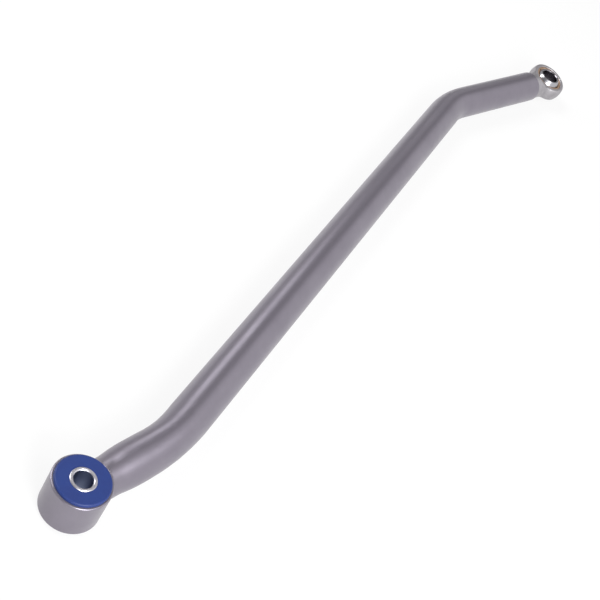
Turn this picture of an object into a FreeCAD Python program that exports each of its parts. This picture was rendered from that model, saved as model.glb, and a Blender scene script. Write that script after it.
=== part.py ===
import FreeCAD, Part
import math
import os

from FreeCAD import Matrix, Placement, Rotation, Vector

# Panhard rod: a bent steel tube with a rubber-type bush eye at one end and a
# spherical rod end at the other. Millimetres, +Z up. The origin is the centre
# of the bush eye, +Z is the eye's axis and +X points at the centre of the ball.

# Tube: three straight runs, measured from corner to corner, and two bends
tube_od = 38.1
tube_wall = 4.76
near_run = 103.2
middle_run = 714.7
far_run = 216.2
near_bend_angle = 16.69
far_bend_angle = 21.72
near_bend_radius = 246.0
far_bend_radius = 162.0
bend_flat = 1.4
bend_bulge = 0.3
bend_stations = 9
tube_end_round = 0.9

# Swaged end of the tube, narrow enough for the bush eye
swage_od = 34.4
swage_land = 6.6
swage_to_bend = 7.1
swage_toe_share = 0.24

# Bush eye, welded across the near end of the tube
eye_od = 50.8
eye_wall = 4.8
eye_length = 36.0
eye_edge = 1.2
eye_bore_edge = 0.6
weld_radius = 2.4
weld_crown = 1.1
weld_points = 24
weld_flange_gap = 0.2

# Bush: two flanged halves on a steel crush sleeve
flange_inset = 2.05
flange_thickness = 2.8
flange_round = 1.5
bush_gap = 0.6
bush_press = 0.05
sleeve_od = 22.3
sleeve_bore = 16.4
sleeve_proud = 0.6
sleeve_edge = 0.5
sleeve_bore_edge = 0.8

# Threaded insert in the far end of the tube
insert_length = 50.0
insert_edge = 1.0
insert_play = 0.05
thread_od = 22.2
thread_play = 0.05

# Rod end: forged head, round neck and threaded shank
head_od = 51.5
head_thickness = 18.8
head_edge = 2.6
neck_od = 34.4
neck_blend = 12.0
neck_edge = 1.0
neck_gap = 0.3
head_bore_edge = 0.5
ramp_angle = 45.0
ramp_clear = 0.6
tube_end_to_ball = 43.2
shank_length = 44.0
shank_edge = 1.5
shank_relief = 0.9
shank_relief_length = 3.5
head_roll = 9.3

# Race and ball
race_od = 38.8
race_edge = 0.4
race_press = 0.03
race_recess = 1.0
race_mouth_od = 35.0
race_mouth_depth = 1.2
ball_od = 35.8
ball_width = 23.8
ball_bore = 22.2
ball_bore_edge = 0.7
ball_play = 0.05
ball_roll = 3.5

# Derived sizes
tube_r = tube_od / 2
bore_r = tube_r - tube_wall
eye_r = eye_od / 2
eye_bore_r = eye_r - eye_wall
swage_r = swage_od / 2
swage_start = eye_r + swage_land
flange_r = eye_r - flange_inset
eye_half = eye_length / 2
bush_top = eye_half + flange_thickness
sleeve_half = bush_top + sleeve_proud
head_r = head_od / 2
head_half = head_thickness / 2
neck_r = neck_od / 2
thread_r = thread_od / 2
race_r = race_od / 2
race_half = head_half - race_recess
ball_r = ball_od / 2
ball_half = ball_width / 2
tube_end_run = far_run - tube_end_to_ball


def turned(angle):
    """Unit vector in the XY plane at an angle in degrees."""
    a = math.radians(angle)
    return Vector(math.cos(a), math.sin(a), 0)


def first_heading():
    """Heading of the near run that puts the ball's centre on the X axis."""
    reach = turned(0) * near_run
    reach += turned(near_bend_angle) * middle_run
    reach += turned(near_bend_angle - far_bend_angle) * far_run
    return -math.degrees(math.atan2(reach.y, reach.x))


near_heading = first_heading()
middle_heading = near_heading + near_bend_angle
far_heading = middle_heading - far_bend_angle
near_corner = turned(near_heading) * near_run
far_corner = near_corner + turned(middle_heading) * middle_run
ball_centre = far_corner + turned(far_heading) * far_run
tube_end = far_corner + turned(far_heading) * tube_end_run


def along(point, heading, shape):
    """Place a shape that is modelled along +X at a point of the tube's line."""
    placed = shape.copy()
    place = Placement(point, Rotation(Vector(0, 0, 1), heading))
    placed.Placement = place.multiply(shape.Placement)
    return placed


def revolved(points, axis=Vector(0, 0, 1)):
    """Solid of revolution about an axis through the origin.

    Each entry is a point (x, z), or an arc as (middle point, end point). A
    straight line closes the outline where its last entry doesn't.
    """
    def spot(pair):
        return Vector(pair[0], 0, pair[1])

    edges = []
    start = spot(points[0])
    here = start
    for entry in points[1:]:
        if isinstance(entry[0], tuple):
            middle = spot(entry[0])
            end = spot(entry[1])
            edges.append(Part.Arc(here, middle, end).toShape())
        else:
            end = spot(entry)
            edges.append(Part.LineSegment(here, end).toShape())
        here = end
    if (here - start).Length > 1e-6:
        edges.append(Part.LineSegment(here, start).toShape())
    face = Part.Face(Part.Wire(edges))
    return face.revolve(Vector(0, 0, 0), axis, 360)


def ring_at(radius, centre, heading):
    """Circle across the tube's line."""
    ring = Part.Wire(Part.makeCircle(radius, Vector(0, 0, 0), Vector(1, 0, 0)))
    return along(centre, heading, ring)


def bend_section(radius, centre, heading, side, share):
    """Section of the tube part of the way round a bend, flatter on its inside."""
    flat = bend_flat * share / 2
    bulge = bend_bulge * share
    oval = Matrix()
    oval.scale(1, (radius - flat) / radius, (radius + bulge) / radius)
    ring = ring_at(radius, Vector(0, 0, 0), 0).transformGeometry(oval)
    ring.translate(Vector(0, -side * flat, 0))
    ring.rotate(Vector(0, 0, 0), Vector(0, 0, 1), heading)
    ring.translate(centre)
    return ring


def bend_sections(corner, heading, angle, side, bend_radius, radius):
    """Sections round one bend; side is 1 for a left turn, -1 for a right."""
    setback = bend_setback(angle, bend_radius)
    start = corner - turned(heading) * setback
    pivot = start + turned(heading + 90 * side) * bend_radius
    sections = []
    for i in range(bend_stations):
        t = i / (bend_stations - 1)
        here = heading + side * angle * t
        centre = pivot - turned(here + 90 * side) * bend_radius
        share = math.sin(math.pi * t) ** 2
        sections.append(bend_section(radius, centre, here, side, share))
    return sections


def bend_setback(angle, bend_radius):
    """Length of a straight run that its bend takes, from the corner."""
    return bend_radius * math.tan(math.radians(angle) / 2)


def swage_face(radius, start, end):
    """Soft step from the swaged end, toe to heel, up to the tube's full radius."""
    drop = tube_r - swage_r
    lean = 2 * math.atan2(drop, end - start)
    toe = swage_toe_share * (end - start) / math.sin(lean)
    heel = (1 - swage_toe_share) * (end - start) / math.sin(lean)

    def spot(x, r):
        return Vector(x, 0, r)

    def toe_spot(a):
        return spot(start + toe * math.sin(a), radius - drop + toe * (1 - math.cos(a)))

    def heel_spot(a):
        return spot(end - heel * math.sin(a), radius - heel * (1 - math.cos(a)))

    arcs = [
        Part.Arc(toe_spot(0), toe_spot(lean / 2), toe_spot(lean)),
        Part.Arc(heel_spot(lean), heel_spot(lean / 2), heel_spot(0)),
    ]
    profile = Part.Wire([arc.toShape() for arc in arcs])
    return along(Vector(0, 0, 0), near_heading,
                 profile.revolve(Vector(0, 0, 0), Vector(1, 0, 0), 360))


def rod_skin(radius, end_run):
    """Faces of the bent rod of one radius, without its two ends."""
    near_back = bend_setback(near_bend_angle, near_bend_radius)
    far_back = bend_setback(far_bend_angle, far_bend_radius)
    swage_end = near_run - near_back - swage_to_bend
    runs = [
        (radius - tube_r + swage_r, Vector(0, 0, 0), near_heading, swage_start),
        (radius, turned(near_heading) * swage_end, near_heading, swage_to_bend),
        (radius, near_corner + turned(middle_heading) * near_back, middle_heading,
         middle_run - near_back - far_back),
        (radius, far_corner + turned(far_heading) * far_back, far_heading,
         end_run - far_back),
    ]
    bends = [
        bend_sections(near_corner, near_heading, near_bend_angle, 1,
                      near_bend_radius, radius),
        bend_sections(far_corner, middle_heading, far_bend_angle, -1,
                      far_bend_radius, radius),
    ]
    faces = swage_face(radius, swage_start, swage_end).Faces
    for run_radius, start, heading, length in runs:
        ring = ring_at(run_radius, start, heading)
        faces += ring.extrude(turned(heading) * length).Faces
    for sections in bends:
        faces += Part.makeLoft(sections, False, False).Faces
    return faces


def ring_face(outer, inner, centre, heading):
    """Flat end of the tube's wall."""
    rims = [ring_at(outer, centre, heading), ring_at(inner, centre, heading)]
    return Part.makeFace(rims, "Part::FaceMakerBullseye")


def end_round_face():
    """Rounded outer edge of the tube's far end."""
    e = tube_end_round
    bow = e * (1 - math.sqrt(0.5))
    arc = Part.Arc(Vector(-e, 0, tube_r), Vector(-bow, 0, tube_r - bow),
                   Vector(0, 0, tube_r - e)).toShape()
    return along(tube_end, far_heading, arc.revolve(Vector(0, 0, 0), Vector(1, 0, 0), 360))


def make_tube():
    """Bent tube, coped to the bush eye at its near end."""
    faces = rod_skin(tube_r, tube_end_run - tube_end_round)
    faces += rod_skin(bore_r, tube_end_run)
    faces.append(end_round_face())
    faces.append(ring_face(swage_r, swage_r - tube_wall, Vector(0, 0, 0), near_heading))
    faces.append(ring_face(tube_r - tube_end_round, bore_r, tube_end, far_heading))
    shell = Part.makeShell(faces)
    shell.sewShape()
    tube = Part.makeSolid(shell.Shells[0])
    if tube.Volume < 0:
        tube.reverse()
    return tube.cut(Part.makeCylinder(eye_r, tube_od * 2, Vector(0, 0, -tube_od)))


def make_bush_eye():
    """Short thick ring that holds the bush, with rounded outer rims."""
    r, b = eye_edge, eye_bore_edge
    bow = r * (1 - math.sqrt(0.5))
    return revolved([
        (eye_bore_r, -eye_half + b), (eye_bore_r + b, -eye_half),
        (eye_r - r, -eye_half), ((eye_r - bow, -eye_half + bow), (eye_r, -eye_half + r)),
        (eye_r, eye_half - r), ((eye_r - bow, eye_half - bow), (eye_r - r, eye_half)),
        (eye_bore_r + b, eye_half), (eye_bore_r, eye_half - b),
    ])


def make_eye_weld(eye):
    """Weld bead round the joint of the tube and the eye."""
    sink = weld_radius - weld_crown
    points = []
    for i in range(weld_points):
        a = 2 * math.pi * i / weld_points
        y = (swage_r - sink) * math.cos(a)
        z = (swage_r - sink) * math.sin(a)
        points.append(Vector(math.sqrt(eye_r ** 2 - y ** 2), y, z))
    seam = Part.BSplineCurve()
    seam.interpolate(points, PeriodicFlag=True)
    first = seam.FirstParameter
    path = Part.Wire(seam.toShape(first, (first + seam.LastParameter) / 2))
    section = Part.Wire(Part.makeCircle(weld_radius, points[0], Vector(0, 0, 1)))
    core = Part.makeCylinder(swage_r, near_run, Vector(0, 0, 0), Vector(1, 0, 0))
    seat = Part.makeCylinder(flange_r + weld_flange_gap, tube_od, Vector(0, 0, eye_half))
    half = path.makePipeShell([section], True, False).cut([core, eye, seat])
    bead = half.fuse(half.mirror(Vector(0, 0, 0), Vector(0, 0, 1)))
    bead = max(bead.Solids, key=lambda solid: solid.Volume)
    return along(Vector(0, 0, 0), near_heading, bead)


def make_bush_half(upper):
    """Flanged half of the bush, with a rounded flange edge."""
    inner = sleeve_od / 2 + thread_play
    outer = eye_bore_r - bush_press
    r = flange_round
    bow = r * (1 - math.sqrt(0.5))
    half = revolved([
        (inner, bush_gap / 2), (outer, bush_gap / 2), (outer, eye_half),
        (flange_r, eye_half), (flange_r, bush_top - r),
        ((flange_r - bow, bush_top - bow), (flange_r - r, bush_top)),
        (inner, bush_top),
    ])
    if not upper:
        half = half.mirror(Vector(0, 0, 0), Vector(0, 0, 1))
    return half


def make_crush_sleeve():
    """Steel sleeve that the bolt clamps and the bush turns on."""
    outer, bore = sleeve_od / 2, sleeve_bore / 2
    o, b, h = sleeve_edge, sleeve_bore_edge, sleeve_half
    return revolved([
        (bore, -h + b), (bore + b, -h), (outer - o, -h), (outer, -h + o),
        (outer, h - o), (outer - o, h), (bore + b, h), (bore, h - b),
    ])


def make_threaded_insert():
    """Tapped insert that lies flush in the far end of the tube."""
    outer = bore_r - insert_play
    bore = thread_r + thread_play
    e = insert_edge
    insert = revolved([
        (bore + e, 0), (outer - e, 0), (outer, -e), (outer, -insert_length + e),
        (outer - e, -insert_length), (bore, -insert_length), (bore, -e),
    ])
    insert.rotate(Vector(0, 0, 0), Vector(0, 1, 0), 90)
    return along(tube_end, far_heading, insert)


def at_ball(shape, roll_angle):
    """Place a shape of the rod end, modelled with its shank along -X."""
    turn = Rotation(Vector(0, 0, 1), far_heading)
    roll = Rotation(Vector(1, 0, 0), roll_angle)
    placed = shape.copy()
    placed.Placement = Placement(ball_centre, turn.multiply(roll))
    return placed


def rod_end_blank():
    """Ball-shaped head that blends into the neck, with the shank behind it."""
    reach = head_r + neck_blend
    blend_x = -math.sqrt(reach ** 2 - (neck_r + neck_blend) ** 2)
    pull = head_r / reach
    meet = (blend_x * pull, (neck_r + neck_blend) * pull)
    lean = math.atan2(meet[1] - neck_r - neck_blend, meet[0] - blend_x)
    half_lean = (lean - math.pi / 2) / 2
    blend_middle = (blend_x + neck_blend * math.cos(half_lean),
                    neck_r + neck_blend + neck_blend * math.sin(half_lean))
    rise = (math.atan2(meet[1], meet[0])) / 2
    crown = (head_r * math.cos(rise), head_r * math.sin(rise))
    shoulder = -tube_end_to_ball + neck_gap
    tip = shoulder - shank_length
    relief = thread_r - shank_relief
    return revolved([
        (tip, 0), (tip, thread_r - shank_edge), (tip + shank_edge, thread_r),
        (shoulder - shank_relief_length, thread_r),
        (shoulder - shank_relief_length + shank_relief, relief), (shoulder, relief),
        (shoulder, neck_r - neck_edge), (shoulder + neck_edge, neck_r),
        (blend_x, neck_r), (blend_middle, meet), (crown, (head_r, 0)),
    ], Vector(1, 0, 0))


def head_space():
    """Room that the flat head needs, with a ramp up to the neck on both faces."""
    inner = head_r + ramp_clear
    rise = head_r
    outer = inner + rise / math.tan(math.radians(ramp_angle))
    top = head_half + rise
    return revolved([
        (0, -top), (outer, -top), (inner, -head_half), (inner, head_half),
        (outer, top), (0, top),
    ])


def make_rod_end_body():
    """Forged rod end: round neck, flat head with soft rims, bored for its race."""
    blank = rod_end_blank()
    flat = Part.makeBox(head_od + neck_blend, head_od, head_thickness,
                        Vector(-head_r - neck_blend, -head_r, -head_half))
    head = blank.common(flat)
    rims = []
    for edge in head.Edges:
        box = edge.BoundBox
        if box.ZLength < 1e-3 and abs(abs(box.ZMax) - head_half) < 1e-3:
            if box.XLength > 1e-3 and box.XMax > -head_r:
                rims.append(edge)
    head = head.makeFillet(head_edge, rims)
    body = blank.cut(head_space()).fuse(head)
    bore = race_r + race_press
    mouth = bore + head_bore_edge
    cutter = revolved([
        (0, -head_half), (mouth, -head_half), (bore, -head_half + head_bore_edge),
        (bore, head_half - head_bore_edge), (mouth, head_half), (0, head_half),
    ])
    return at_ball(body.cut(cutter), head_roll)


def make_race():
    """Race ring, set back from both faces of the head, with a bevelled mouth."""
    seat = ball_r + ball_play
    mouth = race_mouth_od / 2
    floor_z = race_half - race_mouth_depth
    floor_r = math.sqrt(seat ** 2 - floor_z ** 2)
    e = race_edge
    race = revolved([
        (floor_r, -floor_z), (mouth, -race_half), (race_r - e, -race_half),
        (race_r, -race_half + e), (race_r, race_half - e), (race_r - e, race_half),
        (mouth, race_half), (floor_r, floor_z), ((seat, 0), (floor_r, -floor_z)),
    ])
    return at_ball(race, head_roll)


def make_ball():
    """Bored ball, leaning a little less than the head at rest."""
    bore = ball_bore / 2
    lip = math.sqrt(ball_r ** 2 - ball_half ** 2)
    b = ball_bore_edge
    ball = revolved([
        (bore, -ball_half + b), (bore + b, -ball_half), (lip, -ball_half),
        ((ball_r, 0), (lip, ball_half)), (bore + b, ball_half),
        (bore, ball_half - b),
    ])
    return at_ball(ball, ball_roll)


def main():
    os.makedirs("parts", exist_ok=True)
    eye = make_bush_eye()
    pieces = {
        "tube": make_tube(),
        "bush_eye": eye,
        "eye_weld": make_eye_weld(eye),
        "bush_upper": make_bush_half(True),
        "bush_lower": make_bush_half(False),
        "crush_sleeve": make_crush_sleeve(),
        "threaded_insert": make_threaded_insert(),
        "rod_end_body": make_rod_end_body(),
        "race": make_race(),
        "ball": make_ball(),
    }
    for name, shape in pieces.items():
        solid = shape.Solids[0] if len(shape.Solids) == 1 else shape
        solid.exportStep("parts/" + name + ".step")
        box = solid.BoundBox
        print(name, "solids", len(shape.Solids), "valid", solid.isValid(),
              "volume", round(solid.Volume), "z", round(box.ZMin, 2), round(box.ZMax, 2))
    print("headings", near_heading, middle_heading, far_heading)
    print("corners", near_corner, far_corner, "ball", ball_centre, "tube end", tube_end)


main()
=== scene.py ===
import math

import bpy
from mathutils import Matrix, Vector


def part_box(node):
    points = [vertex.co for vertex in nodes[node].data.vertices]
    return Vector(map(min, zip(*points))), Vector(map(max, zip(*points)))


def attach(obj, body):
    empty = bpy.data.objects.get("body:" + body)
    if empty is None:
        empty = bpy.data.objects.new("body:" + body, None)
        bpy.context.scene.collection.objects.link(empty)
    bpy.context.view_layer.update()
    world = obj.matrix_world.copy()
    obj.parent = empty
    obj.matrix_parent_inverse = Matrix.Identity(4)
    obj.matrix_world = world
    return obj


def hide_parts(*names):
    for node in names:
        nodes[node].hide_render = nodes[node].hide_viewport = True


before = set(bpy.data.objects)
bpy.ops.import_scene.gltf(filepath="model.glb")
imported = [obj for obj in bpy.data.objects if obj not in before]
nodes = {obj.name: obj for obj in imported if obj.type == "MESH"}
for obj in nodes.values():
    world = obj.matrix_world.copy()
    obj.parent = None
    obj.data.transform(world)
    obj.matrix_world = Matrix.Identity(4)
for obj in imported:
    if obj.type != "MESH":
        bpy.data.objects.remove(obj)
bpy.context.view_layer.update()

print("stage: frame loaded")


# small helpers

def clearSelection():
    if bpy.context.object and bpy.context.object.mode != "OBJECT":
        bpy.ops.object.mode_set(mode="OBJECT")
    bpy.ops.object.select_all(action="DESELECT")


def only(piece):
    clearSelection()
    piece.select_set(True)
    bpy.context.view_layer.objects.active = piece


def settle(piece):  # origin at zero, unturned and unscaled
    only(piece)
    bpy.ops.object.transform_apply(location=True, rotation=True, scale=True)


def paint(piece, material):
    piece.data.materials.clear()
    piece.data.materials.append(material)


# shader groups, each used in more than one finish

def newGroup(name, inputs, outputs):
    group = bpy.data.node_groups.new(name, "ShaderNodeTree")
    for label, kind, value in inputs:
        socket = group.interface.new_socket(label, in_out="INPUT", socket_type=kind)
        if value is not None:
            socket.default_value = value
    for label, kind in outputs:
        group.interface.new_socket(label, in_out="OUTPUT", socket_type=kind)
    return group, group.nodes.new("NodeGroupInput"), group.nodes.new("NodeGroupOutput")


def mathNode(tree, operation, a, b=None, clamp=False):
    node = tree.nodes.new("ShaderNodeMath")
    node.operation = operation
    node.use_clamp = clamp
    for socket, value in zip(node.inputs, (a, b)):
        if value is None:
            continue
        if isinstance(value, (int, float)):
            socket.default_value = value
        else:
            tree.links.new(value, socket)
    return node.outputs[0]


def noiseNode(tree, vector, scale, detail, rough=0.5):
    node = tree.nodes.new("ShaderNodeTexNoise")
    node.inputs["Detail"].default_value = detail
    node.inputs["Roughness"].default_value = rough
    tree.links.new(vector, node.inputs["Vector"])
    if isinstance(scale, (int, float)):
        node.inputs["Scale"].default_value = scale
    else:
        tree.links.new(scale, node.inputs["Scale"])
    return node.outputs["Fac"]


broadGrain = 0.14  # scale of the broad bumps against the fine ones


# fine pebbled skin, as on powder coat, moulded rubber and forged steel
def makeSkinGrain():
    group, into, out = newGroup("skinGrain", [
        ("Vector", "NodeSocketVector", None),
        ("Scale", "NodeSocketFloat", 700.0),
        ("Broad Share", "NodeSocketFloat", 0.4),
    ], [("Height", "NodeSocketFloat")])
    fine = noiseNode(group, into.outputs["Vector"], into.outputs["Scale"], 2)
    slow = mathNode(group, "MULTIPLY", into.outputs["Scale"], broadGrain)
    broad = noiseNode(group, into.outputs["Vector"], slow, 3)
    lift = mathNode(group, "MULTIPLY", broad, into.outputs["Broad Share"])
    height = mathNode(group, "ADD", fine, lift)
    group.links.new(height, out.inputs["Height"])
    return group


driftSpan = (0.35, 0.65)  # of the cloud, from the one tone to the other


# slow drift between two tones and two roughnesses
def makeToneDrift():
    group, into, out = newGroup("toneDrift", [
        ("Vector", "NodeSocketVector", None),
        ("Scale", "NodeSocketFloat", 40.0),
        ("Tone A", "NodeSocketColor", (0.5, 0.5, 0.5, 1)),
        ("Tone B", "NodeSocketColor", (0.4, 0.4, 0.4, 1)),
        ("Roughness", "NodeSocketFloat", 0.4),
        ("Roughness Span", "NodeSocketFloat", 0.1),
    ], [("Color", "NodeSocketColor"), ("Roughness", "NodeSocketFloat")])
    cloud = noiseNode(group, into.outputs["Vector"], into.outputs["Scale"], 6, 0.6)
    span = group.nodes.new("ShaderNodeMapRange")
    span.inputs["From Min"].default_value = driftSpan[0]
    span.inputs["From Max"].default_value = driftSpan[1]
    group.links.new(cloud, span.inputs["Value"])
    mix = group.nodes.new("ShaderNodeMix")
    mix.data_type = "RGBA"
    group.links.new(span.outputs["Result"], mix.inputs["Factor"])
    group.links.new(into.outputs["Tone A"], mix.inputs["A"])
    group.links.new(into.outputs["Tone B"], mix.inputs["B"])
    group.links.new(mix.outputs["Result"], out.inputs["Color"])
    shift = mathNode(group, "MULTIPLY", span.outputs["Result"], into.outputs["Roughness Span"])
    rough = mathNode(group, "ADD", shift, into.outputs["Roughness"])
    group.links.new(rough, out.inputs["Roughness"])
    return group


ringBlurScale = 260.0


# turning marks round a piece's own Z axis, deeper in some places than in others
def makeTurnedRings():
    group, into, out = newGroup("turnedRings", [
        ("Vector", "NodeSocketVector", None),
        ("Pitch", "NodeSocketFloat", 0.0004),
    ], [("Height", "NodeSocketFloat")])
    parts = group.nodes.new("ShaderNodeSeparateXYZ")
    group.links.new(into.outputs["Vector"], parts.inputs["Vector"])
    xx = mathNode(group, "MULTIPLY", parts.outputs["X"], parts.outputs["X"])
    yy = mathNode(group, "MULTIPLY", parts.outputs["Y"], parts.outputs["Y"])
    away = mathNode(group, "SQRT", mathNode(group, "ADD", xx, yy))
    reach = mathNode(group, "ADD", away, parts.outputs["Z"])
    turns = mathNode(group, "DIVIDE", reach, into.outputs["Pitch"])
    wave = mathNode(group, "SINE", mathNode(group, "MULTIPLY", turns, 2 * math.pi))
    blur = noiseNode(group, into.outputs["Vector"], ringBlurScale, 2)
    height = mathNode(group, "MULTIPLY", wave, blur)
    group.links.new(height, out.inputs["Height"])
    return group


# painted shade: the wall inside a bore about a piece's own Z axis gets a darker colour,
# standing in for the shade down the hole
def makeBoreShade():
    group, into, out = newGroup("boreShade", [
        ("Vector", "NodeSocketVector", None),
        ("Color", "NodeSocketColor", (0.7, 0.7, 0.7, 1)),
        ("Bore Color", "NodeSocketColor", (0.03, 0.03, 0.03, 1)),
        ("Bore Radius", "NodeSocketFloat", 0.01),
        ("Soft Edge", "NodeSocketFloat", 0.0002),
    ], [("Color", "NodeSocketColor")])
    parts = group.nodes.new("ShaderNodeSeparateXYZ")
    group.links.new(into.outputs["Vector"], parts.inputs["Vector"])
    xx = mathNode(group, "MULTIPLY", parts.outputs["X"], parts.outputs["X"])
    yy = mathNode(group, "MULTIPLY", parts.outputs["Y"], parts.outputs["Y"])
    away = mathNode(group, "SQRT", mathNode(group, "ADD", xx, yy))
    inside = mathNode(group, "SUBTRACT", into.outputs["Bore Radius"], away)
    mask = mathNode(group, "DIVIDE", inside, into.outputs["Soft Edge"], clamp=True)
    mix = group.nodes.new("ShaderNodeMix")
    mix.data_type = "RGBA"
    group.links.new(mask, mix.inputs["Factor"])
    group.links.new(into.outputs["Color"], mix.inputs["A"])
    group.links.new(into.outputs["Bore Color"], mix.inputs["B"])
    group.links.new(mix.outputs["Result"], out.inputs["Color"])
    return group


skinGrain = makeSkinGrain()
toneDrift = makeToneDrift()
turnedRings = makeTurnedRings()
boreShade = makeBoreShade()


def placeGroup(material, group, vector, **values):
    node = material.node_tree.nodes.new("ShaderNodeGroup")
    node.node_tree = group
    material.node_tree.links.new(vector, node.inputs["Vector"])
    for label, value in values.items():
        node.inputs[label.replace("_", " ")].default_value = value
    return node


def newMaterial(name, centre=(0, 0, 0), turn=(0, 0, 0), **plain):
    material = bpy.data.materials.new(name)
    material.use_nodes = True
    tree = material.node_tree
    shader = tree.nodes["Principled BSDF"]
    for label, value in plain.items():
        shader.inputs[label.replace("_", " ")].default_value = value
    coords = tree.nodes.new("ShaderNodeTexCoord")
    mapping = tree.nodes.new("ShaderNodeMapping")
    mapping.vector_type = "TEXTURE"
    mapping.inputs["Location"].default_value = centre
    mapping.inputs["Rotation"].default_value = turn
    tree.links.new(coords.outputs["Object"], mapping.inputs["Vector"])
    return material, shader, mapping.outputs["Vector"]


def addBump(material, shader, height, strength, distance):
    bump = material.node_tree.nodes.new("ShaderNodeBump")
    bump.inputs["Strength"].default_value = strength
    bump.inputs["Distance"].default_value = distance
    material.node_tree.links.new(height, bump.inputs["Height"])
    material.node_tree.links.new(bump.outputs["Normal"], shader.inputs["Normal"])


def addTones(material, shader, vector, look):
    tones = placeGroup(material, toneDrift, vector, Scale=look["driftScale"],
                       Tone_A=look["toneA"], Tone_B=look["toneB"],
                       Roughness=look["roughness"], Roughness_Span=look["roughnessSpan"])
    material.node_tree.links.new(tones.outputs["Color"], shader.inputs["Base Color"])
    material.node_tree.links.new(tones.outputs["Roughness"], shader.inputs["Roughness"])
    return tones


def addGrain(material, shader, vector, look):
    grain = placeGroup(material, skinGrain, vector, Scale=look["grainScale"],
                       Broad_Share=look["grainBroad"])
    addBump(material, shader, grain.outputs["Height"], look["grainStrength"],
            look["grainDepth"])


# finishes, each with its look beside it

satinCoatLook = {
    "toneA": (0.222, 0.203, 0.242, 1),
    "toneB": (0.203, 0.185, 0.223, 1),
    "driftScale": 30.0,
    "roughness": 0.30,
    "roughnessSpan": 0.05,
    "grainScale": 900.0,
    "grainBroad": 0.8,
    "grainStrength": 0.35,
    "grainDepth": 0.00004,
}


def makeSatinCoat():
    look = satinCoatLook
    material, shader, vector = newMaterial("satinCoat", Metallic=0.7, Coat_Weight=0.1,
                                           Coat_Roughness=0.25)
    addTones(material, shader, vector, look)
    addGrain(material, shader, vector, look)
    return material


blueBushLook = {
    "toneA": (0.0155, 0.0355, 0.160, 1),
    "toneB": (0.0128, 0.029, 0.140, 1),
    "driftScale": 55.0,
    "roughness": 0.42,
    "roughnessSpan": 0.10,
    "grainScale": 1100.0,
    "grainBroad": 0.5,
    "grainStrength": 0.4,
    "grainDepth": 0.00005,
}


def makeBlueBush():
    look = blueBushLook
    material, shader, vector = newMaterial("blueBush", Specular_IOR_Level=0.3)
    addTones(material, shader, vector, look)
    addGrain(material, shader, vector, look)
    return material


ringStrength = 0.3


def makeTurnedMetal(name, look, centre, turn=(0, 0, 0)):
    material, shader, vector = newMaterial(name, centre, turn, Metallic=1.0)
    tones = addTones(material, shader, vector, look)
    # painted shade: inside the bore the colour is swapped for a darker one, standing in for
    # the shade in the hole
    if "boreRadius" in look:
        shade = placeGroup(material, boreShade, vector, Bore_Color=look["paintedBoreShade"],
                           Bore_Radius=look["boreRadius"])
        material.node_tree.links.new(tones.outputs["Color"], shade.inputs["Color"])
        material.node_tree.links.new(shade.outputs["Color"], shader.inputs["Base Color"])
    rings = placeGroup(material, turnedRings, vector, Pitch=look["pitch"])
    addBump(material, shader, rings.outputs["Height"], ringStrength, look["ringDepth"])
    return material


platedSleeveLook = {
    "toneA": (0.68, 0.66, 0.70, 1),
    "toneB": (0.60, 0.58, 0.62, 1),
    # painted shade: colour of the shaded bore wall
    "paintedBoreShade": (0.230, 0.260, 0.370, 1),
    "boreRadius": 0.0084,
    "driftScale": 120.0,
    "roughness": 0.30,
    "roughnessSpan": 0.10,
    "pitch": 0.0005,
    "ringDepth": 0.00003,
}

raceBrassLook = {
    "toneA": (0.56, 0.39, 0.27, 1),
    "toneB": (0.48, 0.33, 0.23, 1),
    "driftScale": 150.0,
    "roughness": 0.38,
    "roughnessSpan": 0.12,
    "pitch": 0.0004,
    "ringDepth": 0.00002,
}

ballChromeLook = {
    "toneA": (0.46, 0.455, 0.48, 1),
    "toneB": (0.40, 0.395, 0.42, 1),
    # painted shade: colour of the shaded bore and its chamfer
    "paintedBoreShade": (0.160, 0.150, 0.168, 1),
    "boreRadius": 0.0118,
    "driftScale": 90.0,
    "roughness": 0.19,
    "roughnessSpan": 0.06,
    "pitch": 0.0003,
    "ringDepth": 0.00001,
}

bareSteelLook = {
    "toneA": (0.43, 0.415, 0.435, 1),
    "toneB": (0.37, 0.355, 0.375, 1),
    "driftScale": 160.0,
    "roughness": 0.42,
    "roughnessSpan": 0.14,
    "grainScale": 700.0,
    "grainBroad": 1.0,
    "grainStrength": 0.35,
    "grainDepth": 0.00008,
}


def makeBareSteel():
    look = bareSteelLook
    material, shader, vector = newMaterial("bareSteel", Metallic=1.0)
    addTones(material, shader, vector, look)
    addGrain(material, shader, vector, look)
    return material


eyeCentre = (0, 0, 0)
ballLow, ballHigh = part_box("ball")
ballCentre = tuple((ballLow + ballHigh) / 2)
rodEndPose = {"heading": -15.5508, "headRoll": 9.3, "ballRoll": 3.5}  # degrees
headTurn = (math.radians(rodEndPose["headRoll"]), 0, math.radians(rodEndPose["heading"]))
ballTurn = (math.radians(rodEndPose["ballRoll"]), 0, math.radians(rodEndPose["heading"]))

satinCoat = makeSatinCoat()
blueBush = makeBlueBush()
bareSteel = makeBareSteel()
platedSleeve = makeTurnedMetal("platedSleeve", platedSleeveLook, eyeCentre)
raceBrass = makeTurnedMetal("raceBrass", raceBrassLook, ballCentre, headTurn)
ballChrome = makeTurnedMetal("ballChrome", ballChromeLook, ballCentre, ballTurn)

nodeFinish = {
    "tube": satinCoat,
    "bush_eye": satinCoat,
    "eye_weld": satinCoat,
    "bush_upper": blueBush,
    "bush_lower": blueBush,
    "crush_sleeve": platedSleeve,
    "threaded_insert": bareSteel,
    "rod_end_body": bareSteel,
    "race": raceBrass,
    "ball": ballChrome,
}
for name, finish in nodeFinish.items():
    paint(nodes[name], finish)
print("stage: finishes made")


# weld bead round the joint of the tube and the eye

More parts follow.
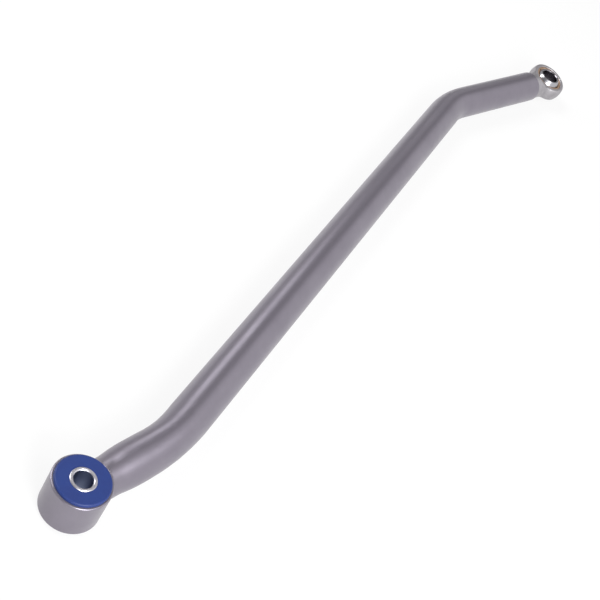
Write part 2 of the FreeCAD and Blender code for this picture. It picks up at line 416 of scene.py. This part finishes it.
weldBead = {
    "ripples": 58,
    "tubeRadius": 0.0172,
    "eyeRadius": 0.0254,
    "sink": 0.0013,         # the bead's line lies this far inside the tube's skin
    "radius": 0.0024,
    "thickness": 0.0021,    # of one ripple, along the seam
    "heading": -10.5208,
    "swell": ((0.05, 2.4), (0.03, 5.1)),  # share and step of two waves in the ripples' size
    "voxel": 0.00035,
    "relax": 0.5,
    "relaxTimes": 3,
}


def seamPoint(settings, turn):
    r = settings["tubeRadius"] - settings["sink"]
    y, z = r * math.cos(turn), r * math.sin(turn)
    return Vector((math.sqrt(settings["eyeRadius"] ** 2 - y * y), y, z))


def makeWeldBead():
    s = weldBead
    clearSelection()
    bpy.ops.mesh.primitive_uv_sphere_add(segments=20, ring_count=12, radius=s["radius"])
    ripple = bpy.context.object
    ripple.scale = (1, 1, s["thickness"] / s["radius"])
    settle(ripple)
    ripples = []
    for i in range(s["ripples"]):
        turn = 2 * math.pi * i / s["ripples"]
        here = seamPoint(s, turn)
        ahead = seamPoint(s, turn + 0.01) - seamPoint(s, turn - 0.01)
        copy = ripple.copy()
        copy.data = ripple.data.copy()
        bpy.context.collection.objects.link(copy)
        copy.rotation_mode = "QUATERNION"
        copy.rotation_quaternion = ahead.to_track_quat("Z", "X")
        copy.location = here
        swell = 1 + sum(share * math.sin(i * step) for share, step in s["swell"])
        copy.scale = (swell, swell, 1)
        ripples.append(copy)
    bpy.data.objects.remove(ripple)
    clearSelection()
    for copy in ripples:
        copy.select_set(True)
    bpy.context.view_layer.objects.active = ripples[0]
    bpy.ops.object.join()
    bead = bpy.context.object
    bead.name = "weldBead"
    settle(bead)
    bead.rotation_mode = "XYZ"
    bead.rotation_euler = (0, 0, math.radians(s["heading"]))
    settle(bead)
    remesh = bead.modifiers.new("oneSkin", "REMESH")
    remesh.mode = "VOXEL"
    remesh.voxel_size = s["voxel"]
    bpy.ops.object.modifier_apply(modifier=remesh.name)
    relax = bead.modifiers.new("relax", "SMOOTH")
    relax.factor = s["relax"]
    relax.iterations = s["relaxTimes"]
    bpy.ops.object.modifier_apply(modifier=relax.name)
    bpy.ops.object.shade_smooth()
    return bead


bead = makeWeldBead()
paint(bead, satinCoat)
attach(bead, "rod")
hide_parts("eye_weld")
print("stage: weld bead", len(bead.data.polygons), "faces")


# floor, lamps, surroundings and camera

floorSettings = {"height": -0.0216, "reach": 30.0, "color": (0.86, 0.86, 0.86, 1),
                 "roughness": 0.9, "glow": 0.85}


def whiteToTheEye(tree):  # 1 for camera, glossy and transmission rays
    path = tree.nodes.new("ShaderNodeLightPath")
    seen = mathNode(tree, "MAXIMUM", path.outputs["Is Camera Ray"],
                    path.outputs["Is Glossy Ray"])
    return mathNode(tree, "MAXIMUM", seen, path.outputs["Is Transmission Ray"])


def makeFloor():
    s = floorSettings
    clearSelection()
    bpy.ops.mesh.primitive_plane_add(size=s["reach"], location=(0.5, 0, s["height"]))
    floor = bpy.context.object
    floor.name = "studioFloor"
    settle(floor)
    material = bpy.data.materials.new("paleFloor")
    material.use_nodes = True
    tree = material.node_tree
    shader = tree.nodes["Principled BSDF"]
    shader.inputs["Base Color"].default_value = s["color"]
    shader.inputs["Roughness"].default_value = s["roughness"]
    shader.inputs["Specular IOR Level"].default_value = 0.0
    glow = tree.nodes.new("ShaderNodeEmission")
    glow.inputs["Color"].default_value = (1, 1, 1, 1)
    share = mathNode(tree, "MULTIPLY", whiteToTheEye(tree), s["glow"])
    mix = tree.nodes.new("ShaderNodeMixShader")
    tree.links.new(share, mix.inputs["Fac"])
    tree.links.new(shader.outputs["BSDF"], mix.inputs[1])
    tree.links.new(glow.outputs["Emission"], mix.inputs[2])
    tree.links.new(mix.outputs["Shader"], tree.nodes["Material Output"].inputs["Surface"])
    paint(floor, material)


lampAim = Vector((0.45, 0, 0))
lamps = {
    "sideLamp": {"place": (0.2, 2.19, 0.71), "size": 1.2, "power": 20},
    "highSideLamp": {"place": (0.55, 1.37, 1.76), "size": 1.2, "power": 24},
    "nearLamp": {"place": (-1.01, -1.46, 1.01), "size": 1.2, "power": 54},
    "fillLamp": {"place": (-0.1, -1.37, 1.76), "size": 1.2, "power": 14},
    "endLamp": {"place": (1.0, -1.37, 1.76), "size": 1.2, "power": 4},
    "bandLamp": {"place": (0.90, 0.56, 0.55), "size": 0.4, "power": 0.9},
    "farBandLamp": {"place": (1.88, 0.51, 0.49), "size": 0.5, "power": 0.25},
}


def makeLamp(name, s):
    clearSelection()
    place = Vector(s["place"])
    turn = (lampAim - place).to_track_quat("-Z", "Y").to_euler()
    bpy.ops.object.light_add(type="AREA", location=place, rotation=turn)
    lamp = bpy.context.object
    lamp.name = name
    lamp.data.shape = "DISK"
    lamp.data.size = s["size"]
    lamp.data.energy = s["power"]


# a white surround, greyer on the far side of the part; "lit" is its level as a light on
# matt surfaces, and the fade and the rise run over the sideways part of a direction
worldSettings = {
    "lit": 0.42,
    "farLevel": 0.30, "fadeFrom": -0.26, "fadeTo": 0.08,
    "edgeLevel": 0.52, "riseFrom": 0.35, "riseTo": 0.72,
}


def addFade(tree, value, start, end, startLevel, endLevel):
    fade = tree.nodes.new("ShaderNodeMapRange")
    fade.interpolation_type = "SMOOTHSTEP"
    labels = ("From Min", "From Max", "To Min", "To Max")
    for label, number in zip(labels, (start, end, startLevel, endLevel)):
        fade.inputs[label].default_value = number
    tree.links.new(value, fade.inputs["Value"])
    return fade.outputs["Result"]


def makeSurroundings():
    s = worldSettings
    world = bpy.data.worlds.new("softStudio")
    bpy.context.scene.world = world
    world.use_nodes = True
    tree = world.node_tree
    back = tree.nodes["Background"]
    back.inputs["Color"].default_value = (1, 1, 1, 1)
    coords = tree.nodes.new("ShaderNodeTexCoord")
    parts = tree.nodes.new("ShaderNodeSeparateXYZ")
    tree.links.new(coords.outputs["Generated"], parts.inputs["Vector"])
    aside = parts.outputs["Y"]
    fade = addFade(tree, aside, s["fadeFrom"], s["fadeTo"], 1.0, s["farLevel"])
    rise = addFade(tree, aside, s["riseFrom"], s["riseTo"], 0.0, s["edgeLevel"])
    share = mathNode(tree, "MAXIMUM", fade, rise)
    seen = whiteToTheEye(tree)
    extra = mathNode(tree, "MULTIPLY", seen, 1 - s["lit"])
    level = mathNode(tree, "ADD", extra, s["lit"])
    strength = mathNode(tree, "MULTIPLY", level, share)
    path = tree.nodes.new("ShaderNodeLightPath")
    shown = mathNode(tree, "MAXIMUM", strength, path.outputs["Is Camera Ray"])
    tree.links.new(shown, back.inputs["Strength"])


cameraSettings = {
    "place": (-0.56724, -0.16660, 0.79804),
    "look": (0.74484, 0.13468, -0.65350),
    "up": (0.44096, 0.63570, 0.63360),
    "lens": 75.17,
    "sensor": 36,
    "clip": 0.01,
}


def makeCamera():
    s = cameraSettings
    clearSelection()
    bpy.ops.object.camera_add()
    camera = bpy.context.object
    camera.name = "photoCamera"
    back = -Vector(s["look"]).normalized()
    right = Vector(s["up"]).cross(back).normalized()
    up = back.cross(right)
    camera.matrix_world = (Matrix.Translation(s["place"])
                           @ Matrix((right, up, back)).transposed().to_4x4())
    camera.data.lens = s["lens"]
    camera.data.sensor_width = s["sensor"]
    camera.data.clip_start = s["clip"]
    bpy.context.scene.camera = camera


makeFloor()
for name, settings in lamps.items():
    makeLamp(name, settings)
makeSurroundings()
makeCamera()
bpy.context.scene.view_settings.view_transform = "Standard"
print("stage: studio made")
